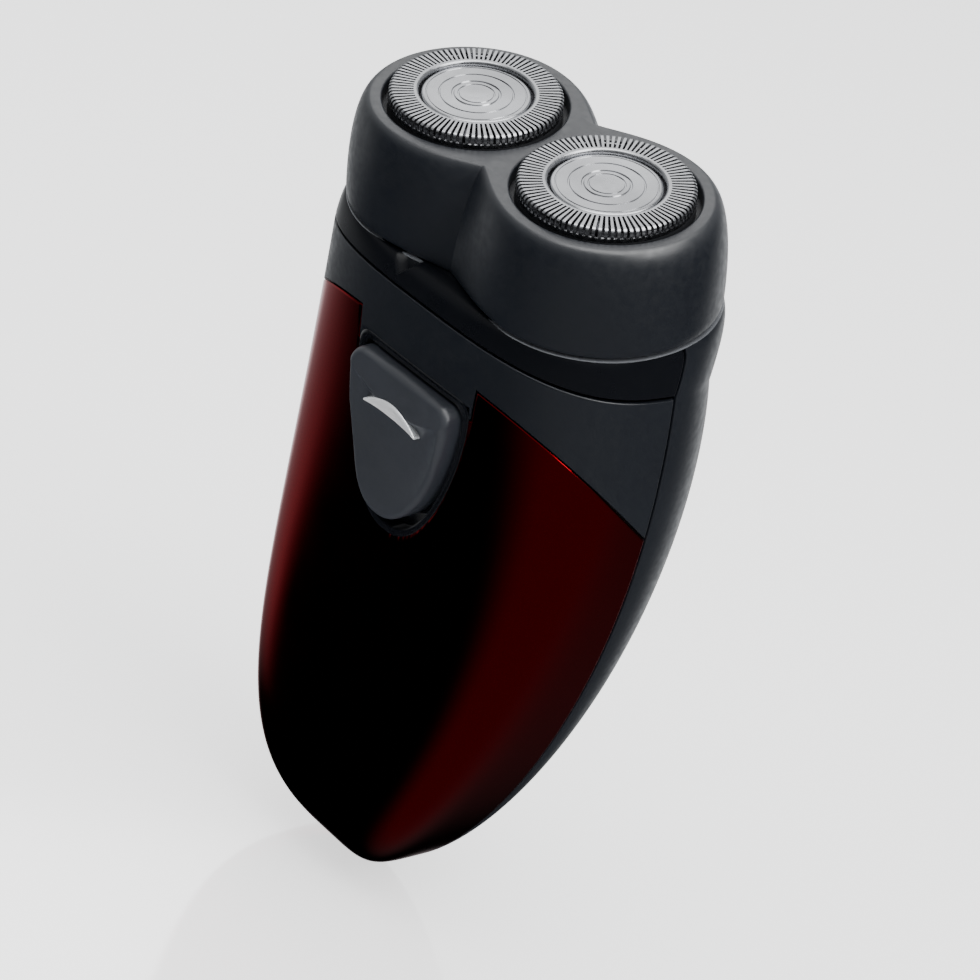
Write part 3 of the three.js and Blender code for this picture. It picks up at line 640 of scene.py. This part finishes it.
def add_front_housing():
    """Front housing: full size above the panel, and a thin layer under the panel."""
    angle = columns(FRONT_COLUMNS)
    x, _ = around(angle, np.full_like(angle, 85.0), 0.0)
    low = np.where(np.abs(x) < TONGUE_HALF_WIDTH, TONGUE_FOOT_Z, panel_edge(angle, 0.0))
    share = spaced(0.0, 1.0, 34, size=14)
    lower_rows = 121
    u = np.repeat(angle[None], len(share) + lower_rows, 0)
    upper = low[None] + (HANDLE_TOP - 0.2 - low)[None] * share[:, None]
    under = np.linspace(TIP_LIFT, 1, lower_rows)[:, None] ** 1.25 * (low - 0.05)[None]
    v = np.concatenate([under, upper])
    base = np.zeros_like(v)
    base[:lower_rows] = PANEL_THICKNESS + PANEL_GAP
    keep = outside_opening(u, v, HOUSING_CUT)
    thickness = WALL - PANEL_THICKNESS - 0.15
    piece = skin("front_housing_skin", handle, u, v, thickness, keep, base, open_rows=(0,), radius=0.2)
    return finish_piece(piece, "slate_plastic", "handle", "front_housing")


BAND_FOOT, BAND_TOP = 0.03, 0.975  # how far up the neck the band starts and ends
REAR_TOP = 0.97  # how far up it the rear housing ends
BAND_THICKNESS = 1.6


def notch_depth(points):
    """How deep the V-shaped finger notch in the band's top edge is at each point."""
    half_width = (points[..., 2] - NOTCH_FOOT_Z) * NOTCH_SPREAD
    inside = half_width - np.abs(points[..., 0] - NOTCH_X)
    return NOTCH_DEPTH * np.clip(inside / NOTCH_SLOPE, 0, 1)


def band_skin(angle, height, inset):
    """The handle's skin with the finger notch pressed into its front."""
    points = handle(angle, height, inset)
    extra = np.where(points[..., 1] < 0, notch_depth(points), 0)
    return handle(angle, height, inset + extra)


def add_band():
    """Collar band, from the front housing's top up to the lip."""
    angle = columns(420)
    share = spaced(0.0, 1.0, 46, size=4.2)
    u = np.repeat(angle[None], len(share), 0)
    v = HANDLE_TOP + BAND_FOOT + (BAND_TOP - BAND_FOOT) * np.repeat(share[:, None], len(angle), 1)
    piece = skin("collar_band_skin", band_skin, u, v, BAND_THICKNESS, radius=0.2)
    return finish_piece(piece, "gloss_black", "handle", "collar_band", material=BAND)


LIP_SHARE = 0.985  # how far up the neck the lip stands
# how far out of the neck, and how far up along the shaving unit's axis
LIP_PROFILE = [
    (-1.2, -0.35), (0.10, -0.35), (0.20, -0.28), (0.25, -0.16),
    (0.20, -0.04), (0.10, 0.0), (-1.2, 0.0),
]


def add_lip():
    """Thin ledge of the deck that shows between the band and the shaving unit; its light grey, lighter
    than the slate, is a painted highlight line along the unit's foot.
    """
    angle = np.linspace(0, 2 * np.pi, 360, endpoint=False)
    height = np.full_like(angle, HANDLE_TOP + LIP_SHARE)
    foot = from_head((0.0, 0.0, 0.0))
    rings = [
        handle(angle, height, -out) + from_head((0.0, 0.0, up)) - foot for out, up in LIP_PROFILE
    ]
    piece = stacked("deck_lip", rings, joined=True)
    return finish_piece(piece, "slate_plastic", "handle", material=LIP_PAINTED_HIGHLIGHT)


def door_angles(height):
    """Polar angles of the door's two upright edges at each height."""
    w, _, b, _ = section(height, 0.0)
    y = b * (1 - DOOR_SHARE**BACK_SQUARENESS) ** (1 / BACK_SQUARENESS)
    edge = np.arctan2(y, DOOR_SHARE * w)
    return edge, np.pi - edge


def back_grid(shares, heights):
    """Angles and heights behind the parting surface; shares 0.25 and 0.75 lie at the door's edges."""
    h = np.repeat(heights[:, None], len(shares), 1)
    low, high = door_angles(np.minimum(h, HANDLE_TOP))
    s = shares[None] + 0 * h
    right = FRONT_GAP + (low - FRONT_GAP) * s * 4
    door = low + (high - low) * (s - 0.25) * 2
    left = high + (np.pi - FRONT_GAP - high) * (s - 0.75) * 4
    return np.where(s < 0.25, right, np.where(s < 0.75, door, left)), h


def add_rear_housing():
    """Rear housing with the doorway of the battery door."""
    side = spaced(0.0, 0.25, 30, size=30)
    middle = spaced(0.25, 0.75, 56, size=40)
    shares = np.concatenate([side, middle[1:-1], 1 - side[::-1]])
    low = spaced(0.0, 1.0, 26, size=12, ends="high") ** 1.3 * (DOOR_FOOT - 0.25)
    low = TIP_LIFT + low * (1 - TIP_LIFT / DOOR_FOOT)
    door = spaced(low[-1], DOOR_TOP + 0.25, 60, size=42)
    high = spaced(DOOR_TOP + 0.25, HANDLE_TOP, 54, size=40, ends="low")
    neck = HANDLE_TOP + spaced(0.0, REAR_TOP, 40, size=9, ends="high")
    heights = np.concatenate([low, door[1:], high[1:], neck[1:]])
    u, v = back_grid(shares, heights)
    keep = np.ones((len(heights) - 1, len(shares) - 1), bool)
    rows = (heights[:-1] >= low[-1] - 1e-6) & (heights[1:] <= door[-1] + 1e-6)
    cols = (shares[:-1] >= 0.25 - 1e-9) & (shares[1:] <= 0.75 + 1e-9)
    keep[np.ix_(rows, cols)] = False
    piece = skin("rear_housing_skin", handle, u, v, WALL, keep, open_rows=(0,), radius=SHELL_FILLET)
    return finish_piece(piece, "slate_plastic", "handle", "rear_housing")


def add_door():
    """Battery door, with a fine gap to the doorway."""
    shares = spaced(0.2535, 0.7465, 56, size=40)
    heights = spaced(DOOR_FOOT + 0.05, DOOR_TOP - 0.05, 60, size=42)
    u, v = back_grid(shares, heights)
    piece = skin("battery_door_skin", handle, u, v, WALL, radius=SHELL_FILLET)
    return finish_piece(piece, "slate_plastic", "battery_cover", "battery_door")


# ------------------------------------------------------------------ switch
def on_surface(outline, sunk):
    """Outline points on the front surface, or sunk below it."""
    flat = from_switch(np.stack([outline[:, 0], np.zeros(len(outline)), outline[:, 1]], -1))
    y = front_y(flat[:, 0], flat[:, 2])
    return np.stack([flat[:, 0], y + sunk, flat[:, 2]], -1)


def at_depth(outline, y):
    """Outline points on a plane of the switch, y behind its own."""
    return from_switch(np.stack([outline[:, 0], np.full(len(outline), y), outline[:, 1]], -1))


def add_bezel():
    """Rim round the switch opening: down inside the opening, up, over and back in."""

    def ring(grow):
        return shield(grow, SWITCH_TRAVEL)

    rings = [
        at_depth(ring(0.70), 3.4),
        on_surface(ring(0.70), 0.9),
        on_surface(ring(0.74), 0.06),
        on_surface(ring(1.52), 0.04),
        on_surface(ring(1.54), -0.03),
        on_surface(ring(1.44), -0.12),
        on_surface(ring(1.20), -0.14),
        on_surface(ring(0.60), -0.14),
        on_surface(ring(0.48), -0.10),
        on_surface(ring(0.42), 0.02),
        at_depth(ring(0.36), 1.9),
        at_depth(ring(0.30), 2.3),
        at_depth(ring(0.05), 2.4),
    ]
    piece = stacked("switch_bezel_skin", rings)
    return finish_piece(piece, "gloss_black", "handle", "switch_bezel")


RIDGE_Z, RIDGE_RISE = 5.7, 3.0
RIDGE_WIDTH = 0.28  # how sharply the face falls away under the ridge
SLIDER_CROWN = 0.35
BROW_DROP = 1.4
SCOOP_HALF_WIDTH = 9.6


def ridge(x):
    """Height of the ridge across the slider, lowest in the middle."""
    return RIDGE_Z + RIDGE_RISE * (x / SWITCH_HALF) ** 2


def crowned(x):
    """How far the slider's face stands out before the brow and the scoop are taken off."""
    return SWITCH_PROUD + SLIDER_CROWN * (1 - (x / SWITCH_HALF) ** 2)


def slider_proud(x, z):
    """How far the slider's face stands out: a sloping brow above the ridge, a thumb scoop below."""
    below = np.clip((ridge(x) - z) / (ridge(0) - SWITCH_FOOT), 0, 1)
    step = 1 / (1 + np.exp(-np.clip((ridge(x) - z - 0.35) / RIDGE_WIDTH, -30, 30)))
    across = np.clip(1 - np.abs(x / SCOOP_HALF_WIDTH) ** 4, 0, 1)
    scoop = step * (0.75 + 0.75 * np.sin(np.pi * np.clip(below * 1.15, 0, 1))) * (1 - below**6)
    brow = BROW_DROP * np.clip((z - ridge(x)) / (SWITCH_TOP - ridge(0)), 0, 1)
    return crowned(x) - scoop * (0.25 + 0.75 * across) - 0.25 * below - brow


SLIDER_FILLET = 1.1


def add_slider():
    """Shield-shaped slider, its face built in rings that close on a point."""
    centre = np.array([0.0, 2.0])
    outline = shield(0.0)
    rings = [at_depth(outline, 2.0), at_depth(outline, 0.5)]
    edge = (0, 0.03, 0.09, 0.18, 0.3, 0.45, 0.62, 0.8)
    for share in spaced(0.0, 1.0, 46, edge, size=11, ends="low")[:-1]:
        ring = outline + (centre - outline) * share
        distance = share * np.linalg.norm(outline - centre, axis=1)
        proud = slider_proud(ring[:, 0], ring[:, 1]) - fillet_depth(distance, SLIDER_FILLET)
        rings.append(from_switch(np.stack([ring[:, 0], -proud, ring[:, 1]], -1)))
    piece = stacked("switch_slider_skin", rings, sharp=50)
    # The slider wears the lighter slate copy, so its face is painted lit
    return finish_piece(piece, "slate_plastic", "switch", "switch_slider", material=SLATE_PAINTED_LIT)


INLAY_EDGE, INLAY_LOW_RISE, INLAY_HIGH_RISE = 0.3, 0.5, 2.1
# how far in from the outline towards the spine, and how far out from the crown
INLAY_CROWN = [
    (0, -1.85), (0, -0.13), (0.06, -0.03), (0.2, 0.07), (0.45, 0.17), (0.7, 0.22), (0.95, 0.23),
]


def add_inlay():
    """Bright lens-shaped inlay in the middle of the ridge."""
    x = INLAY_HALF * np.cos(np.linspace(0, np.pi, 60))
    arch = 1 - (x / INLAY_HALF) ** 2
    top = np.stack([x, INLAY_Z + INLAY_EDGE + INLAY_HIGH_RISE * arch], -1)
    low = np.stack([-x, INLAY_Z + INLAY_LOW_RISE * arch], -1)
    outline = np.concatenate([top, low])
    spine_x = outline[:, 0] * 0.9
    spine_rise = (INLAY_LOW_RISE + INLAY_HIGH_RISE) / 2 * (1 - (spine_x / INLAY_HALF) ** 2)
    spine = np.stack([spine_x, INLAY_Z + INLAY_EDGE / 2 + spine_rise], -1)
    rings = []
    for share, up in INLAY_CROWN:
        ring = outline + (spine - outline) * share
        proud = crowned(ring[:, 0]) + up
        rings.append(from_switch(np.stack([ring[:, 0], -proud, ring[:, 1]], -1)))
    piece = stacked("switch_inlay_skin", rings)
    return finish_piece(piece, "bright_metal", "switch", "switch_inlay")


# ------------------------------------------------------------------ shaving unit
LOBE_CURVE = 2.2  # power of the shell's side, from the deck to its widest


def lobe_radius(depth):
    """Radius of each lobe at a depth below the deck."""
    early = 1 - (1 - np.clip(depth / LOBE_WIDEST_AT, 0, 1)) ** LOBE_CURVE
    k = np.clip((depth - LOBE_WIDEST_AT) / (UNIT_HEIGHT - LOBE_WIDEST_AT), 0, 1)
    upper = (LOBE_WIDEST - LOBE_DECK) * early ** (1 / LOBE_CURVE)
    return LOBE_DECK + upper + (LOBE_FOOT - LOBE_WIDEST) * k * k


UNIT_POINTS, HOLE_POINTS = 360, 120


def unit_ring(depth, inset):
    """Outline of the shaving unit at a depth below the deck."""
    angle = np.linspace(0, 2 * np.pi, UNIT_POINTS, endpoint=False)
    waist = WAIST_DECK + (WAIST_FOOT - WAIST_DECK) * depth / UNIT_HEIGHT
    x, y = lobed(angle, float(lobe_radius(depth)) - inset, waist - inset)
    return from_head(np.stack([x, y, np.full(UNIT_POINTS, DECK_Z - depth)], -1))


def add_head_shell():
    """Two-lobed shell: rounded sides, a flat deck with two holes, hollow inside."""
    points, faces = [], []

    def add_rings(rings):
        start = sum(len(p) for p in points)
        points.extend(rings)
        count = len(rings[0])
        faces.extend(bands(rings, start))
        return start, start + (len(rings) - 1) * count

    depths = UNIT_HEIGHT * (1 - np.linspace(0, 1, 60)) ** 1.7
    foot_edge = [(0.0, 0.45), (0.0, 0.2), (0.1, 0.06), (0.28, 0.0)]
    outer = [unit_ring(UNIT_HEIGHT - up, inset) for up, inset in foot_edge]
    outer += [unit_ring(d, 0) for d in depths if d < UNIT_HEIGHT - 0.5]
    inner = [unit_ring(d, UNIT_WALL) for d in np.linspace(1.8, UNIT_HEIGHT, 14)]
    inner_top, outer_top = add_rings(inner + outer)
    holes = []
    for x in (-HEAD_SPREAD, HEAD_SPREAD):
        profile = [(0.35, 0.0), (0.17, 0.04), (0.05, 0.15), (0.0, 0.35), (0.0, 1.8)]
        bore = [
            circle(x, GUARD_HOLE_RADIUS + out, DECK_Z - down, HOLE_POINTS) for out, down in profile
        ]
        holes.append(add_rings(bore))
    flat = np.concatenate(points)

    def deck(outline_start, hole_starts):
        loops = [list(range(outline_start, outline_start + UNIT_POINTS))]
        loops += [list(range(s, s + HOLE_POINTS)) for s in hole_starts]
        order = [i for loop in loops for i in loop]
        plane = [[Vector((*in_head(flat[i])[:2], 0)) for i in loop] for loop in loops]
        faces.extend([[order[i] for i in tri] for tri in tessellate_polygon(plane)])

    deck(outer_top, [h[0] for h in holes])
    deck(inner_top, [h[1] for h in holes])
    piece = make("head_shell_skin", flat, faces)
    mend(piece)
    return finish_piece(piece, "slate_plastic", "shaving_unit", "head_shell")


def in_head(point):
    """A point of the handle's frame, in the shaving unit's frame."""
    c, s = math.cos(HEAD_TILT), math.sin(HEAD_TILT)
    dy, dz = point[1] - HEAD_Y, point[2] - HEAD_Z
    return np.array([point[0], dy * c + dz * s, -dy * s + dz * c])


def mend(piece):
    """Turns every face outward."""
    work = bmesh.new()
    work.from_mesh(piece.data)
    bmesh.ops.recalc_face_normals(work, faces=work.faces)
    work.to_mesh(piece.data)
    work.free()
    piece.data.set_sharp_from_angle(angle=math.radians(SHARP_ANGLE))


def add_guard(side, x):
    """Steel guard, with radial slots that run from its face over the rim and down its wall."""
    hub_steps = ((0.3, -0.9), (0.4, -0.3), (0.5, -0.1), (0.7, -0.01))
    rim_steps = ((0.39, -0.03), (0.18, -0.14), (0.05, -0.32), (0.0, -0.52))
    hub = [(CAP_RADIUS + out, z) for out, z in hub_steps]
    face = [(CAP_RADIUS + 1.05, 0.0), (GUARD_RADIUS - 0.63, 0.0)]
    rim = [(GUARD_RADIUS - back, z) for back, z in rim_steps]
    wall = [(GUARD_RADIUS, z) for z in (-0.75, -1.35, -1.6, -1.9)]
    profile = hub + face + rim + wall
    slotted = range(len(hub), len(profile) - 3)
    radii = np.array([p[0] for p in profile])
    heights = np.array([p[1] for p in profile])
    normals = np.gradient(np.stack([radii, heights], -1), axis=0)
    normals = np.stack([-normals[:, 1], normals[:, 0]], -1)
    normals /= np.linalg.norm(normals, axis=1)[:, None]
    cuts = np.array([0.0, 0.27, 0.5, 0.77])  # a slot over the first two, a bar over the last two
    per_slot = len(cuts)
    total = SLOT_COUNT * per_slot
    slot = np.repeat(np.arange(SLOT_COUNT), per_slot)
    turn = (slot + np.tile(cuts, SLOT_COUNT)) * 2 * np.pi / SLOT_COUNT
    rows = len(profile)
    u = np.repeat(turn[None], rows, 0)
    v = np.repeat(np.arange(rows)[:, None], total, 1)

    def at(angle, row, inset):
        r = radii[row] - normals[row, 0] * inset
        z = heights[row] - normals[row, 1] * inset
        return from_head(np.stack([x + r * np.cos(angle), r * np.sin(angle), z], -1))

    keep = np.ones((rows - 1, total), bool)
    for row in slotted:
        keep[row, 0::per_slot] = False
        keep[row, 1::per_slot] = False
    piece = skin("guard_%s_skin" % side, at, u, v, GUARD_THICKNESS, keep, wrap=True, radius=0, sharp=40)
    return finish_piece(piece, "steel", "head_" + side, "guard_" + side)


def add_skirt(side, x):
    """Dark skirt of the guard, with the flange that holds it in the unit."""
    inner, flange = GUARD_RADIUS - 0.4, GUARD_RADIUS + 1.43
    profile = [
        (inner, -1.95), (GUARD_RADIUS, -1.95), (GUARD_RADIUS, -3.5), (GUARD_RADIUS + 0.1, -3.6),
        (flange - 0.13, -3.6), (flange, -3.7), (flange, -4.0), (flange - 0.13, -4.1), (inner, -4.1),
    ]
    piece = lathe("guard_skirt_%s" % side, profile, x, 96)
    return finish_piece(piece, "chassis_black", "head_" + side)


def add_cap(side, x):
    """Bright centre disc with fine turned rings."""
    level = -0.4
    profile = [(0.01, -0.88), (CAP_RADIUS, -0.88), (CAP_RADIUS, -0.62), (CAP_RADIUS - 0.08, -0.5)]
    profile.append((CAP_RADIUS - 0.25, level - 0.03))

    def groove(radius, width, depth):
        across = [(width, 0), (width / 2, depth), (-width / 2, depth), (-width, 0)]
        return [(radius + out, level - down) for out, down in across]

    for cut in ((7.0, 0.12, 0.10), (5.2, 0.16, 0.14), (3.3, 0.22, 0.16), (2.5, 0.14, 0.12)):
        profile += groove(*cut)
    profile += [(1.3, level - 0.01), (0.9, level - 0.08), (0.4, level - 0.09), (0.01, level - 0.09)]
    piece = lathe("guard_cap_%s_skin" % side, profile, x, 120, joined=False)
    return finish_piece(piece, "bright_metal", "head_" + side, "guard_cap_" + side, material=DISC)


# ------------------------------------------------------------------ stage
FLOOR_HALF_SIZE = 3.0
LIGHTS_MIDDLE = Vector((0, 0, 0.06))
LIGHTS_DISTANCE = 0.9


def add_floor():
    """Plain pale floor that mirrors the object only faintly."""
    size = FLOOR_HALF_SIZE
    mesh = bpy.data.meshes.new("floor")
    corners = [(-size, -size, 0), (size, -size, 0), (size, size, 0), (-size, size, 0)]
    mesh.from_pydata(corners, [], [(0, 1, 2, 3)])
    floor = link(mesh, "floor")
    material = bpy.data.materials.new("floor")
    material.use_nodes = True
    shader = material.node_tree.nodes["Principled BSDF"]
    shader.inputs["Base Color"].default_value = (0.95, 0.95, 0.95, 1)
    shader.inputs["Roughness"].default_value = 0.09
    shader.inputs["Metallic"].default_value = 0.25
    shader.inputs["Emission Color"].default_value = (1, 1, 1, 1)
    shader.inputs["Emission Strength"].default_value = 1.3
    mesh.materials.append(material)
    floor.visible_glossy = False


def add_light(name, azimuth, elevation, width, height, power):
    """Soft rectangular light that faces the middle of the object."""
    a, e = math.radians(azimuth), math.radians(elevation)
    back = Vector((math.sin(a) * math.cos(e), -math.cos(a) * math.cos(e), math.sin(e)))
    data = bpy.data.lights.new(name, "AREA")
    data.shape, data.size, data.size_y = "RECTANGLE", width, height
    data.energy = power
    light = bpy.data.objects.new(name, data)
    light.location = LIGHTS_MIDDLE + back * LIGHTS_DISTANCE
    light.rotation_mode = "QUATERNION"
    light.rotation_quaternion = back.to_track_quat("Z", "Y")
    bpy.context.scene.collection.objects.link(light)


SKY = 0.45
SKY_FULL = 0.45  # height of a direction at which the sky is at its full strength
# direction, cosines at which the glow starts and is full, its strength, heights between which
# it fades in
LEFT_GLOW = ((-0.85, 0.45, -0.27), 0.46, 0.70, 0.50, -0.62, -0.42)
BACK_GLOW = ((-0.45, 0.77, -0.44), 0.70, 0.93, 1.00, -0.70, -0.48)
RIGHT_GLOW = ((0.74, -0.20, -0.64), 0.22, 0.80, 0.12, -1.4, -1.2)


def add_world():
    """Bright above, dark below, with soft glows low down at the left, at the back and at the right."""
    world = bpy.data.worlds.new("studio")
    bpy.context.scene.world = world
    world.use_nodes = True
    tree = world.node_tree
    link_up = tree.links.new
    background = tree.nodes["Background"]
    direction = tree.nodes.new("ShaderNodeTexCoord").outputs["Generated"]
    split = tree.nodes.new("ShaderNodeSeparateXYZ")
    link_up(direction, split.inputs["Vector"])

    def smooth(value, low, high, top):
        made = tree.nodes.new("ShaderNodeMapRange")
        made.interpolation_type = "SMOOTHSTEP"
        made.inputs["From Min"].default_value = low
        made.inputs["From Max"].default_value = high
        made.inputs["To Max"].default_value = top
        link_up(value, made.inputs["Value"])
        return made.outputs["Result"]

    def glow(toward, low, high, top, floor_low, floor_high):
        dot = tree.nodes.new("ShaderNodeVectorMath")
        dot.operation = "DOT_PRODUCT"
        dot.inputs[1].default_value = toward
        link_up(direction, dot.inputs[0])
        both = tree.nodes.new("ShaderNodeMath")
        both.operation = "MULTIPLY"
        link_up(smooth(dot.outputs["Value"], low, high, top), both.inputs[0])
        link_up(smooth(split.outputs["Z"], floor_low, floor_high, 1.0), both.inputs[1])
        return both.outputs["Value"]

    total = smooth(split.outputs["Z"], 0.0, SKY_FULL, SKY)
    for lobe in (LEFT_GLOW, BACK_GLOW, RIGHT_GLOW):
        add = tree.nodes.new("ShaderNodeMath")
        link_up(total, add.inputs[0])
        link_up(glow(*lobe), add.inputs[1])
        total = add.outputs["Value"]
    link_up(total, background.inputs["Strength"])
    background.inputs["Color"].default_value = (0.96, 0.98, 1.0, 1)


# ------------------------------------------------------------------ assembly
add_panel()
add_front_housing()
add_band()
add_lip()
add_rear_housing()
add_door()
add_bezel()
add_slider()
add_inlay()
add_head_shell()
for side_name, axis_x in (("left", -HEAD_SPREAD), ("right", HEAD_SPREAD)):
    add_guard(side_name, axis_x)
    add_skirt(side_name, axis_x)
    add_cap(side_name, axis_x)

slot_of = {s["node"]: s["material_slot"] for s in frame["record"]["subparts"]}
for node_name, node in NODES.items():
    node.data.materials.clear()
    inside = node_name.startswith("cutter")
    node.data.materials.append(CUTTER if inside else BY_SLOT[slot_of[node_name]])

add_floor()
add_world()
add_light("key", 95, 50, 0.5, 0.7, 6)
add_light("top", 20, 85, 0.8, 0.8, 9)
add_light("back_top", -121, 46, 0.5, 0.5, 1.1)
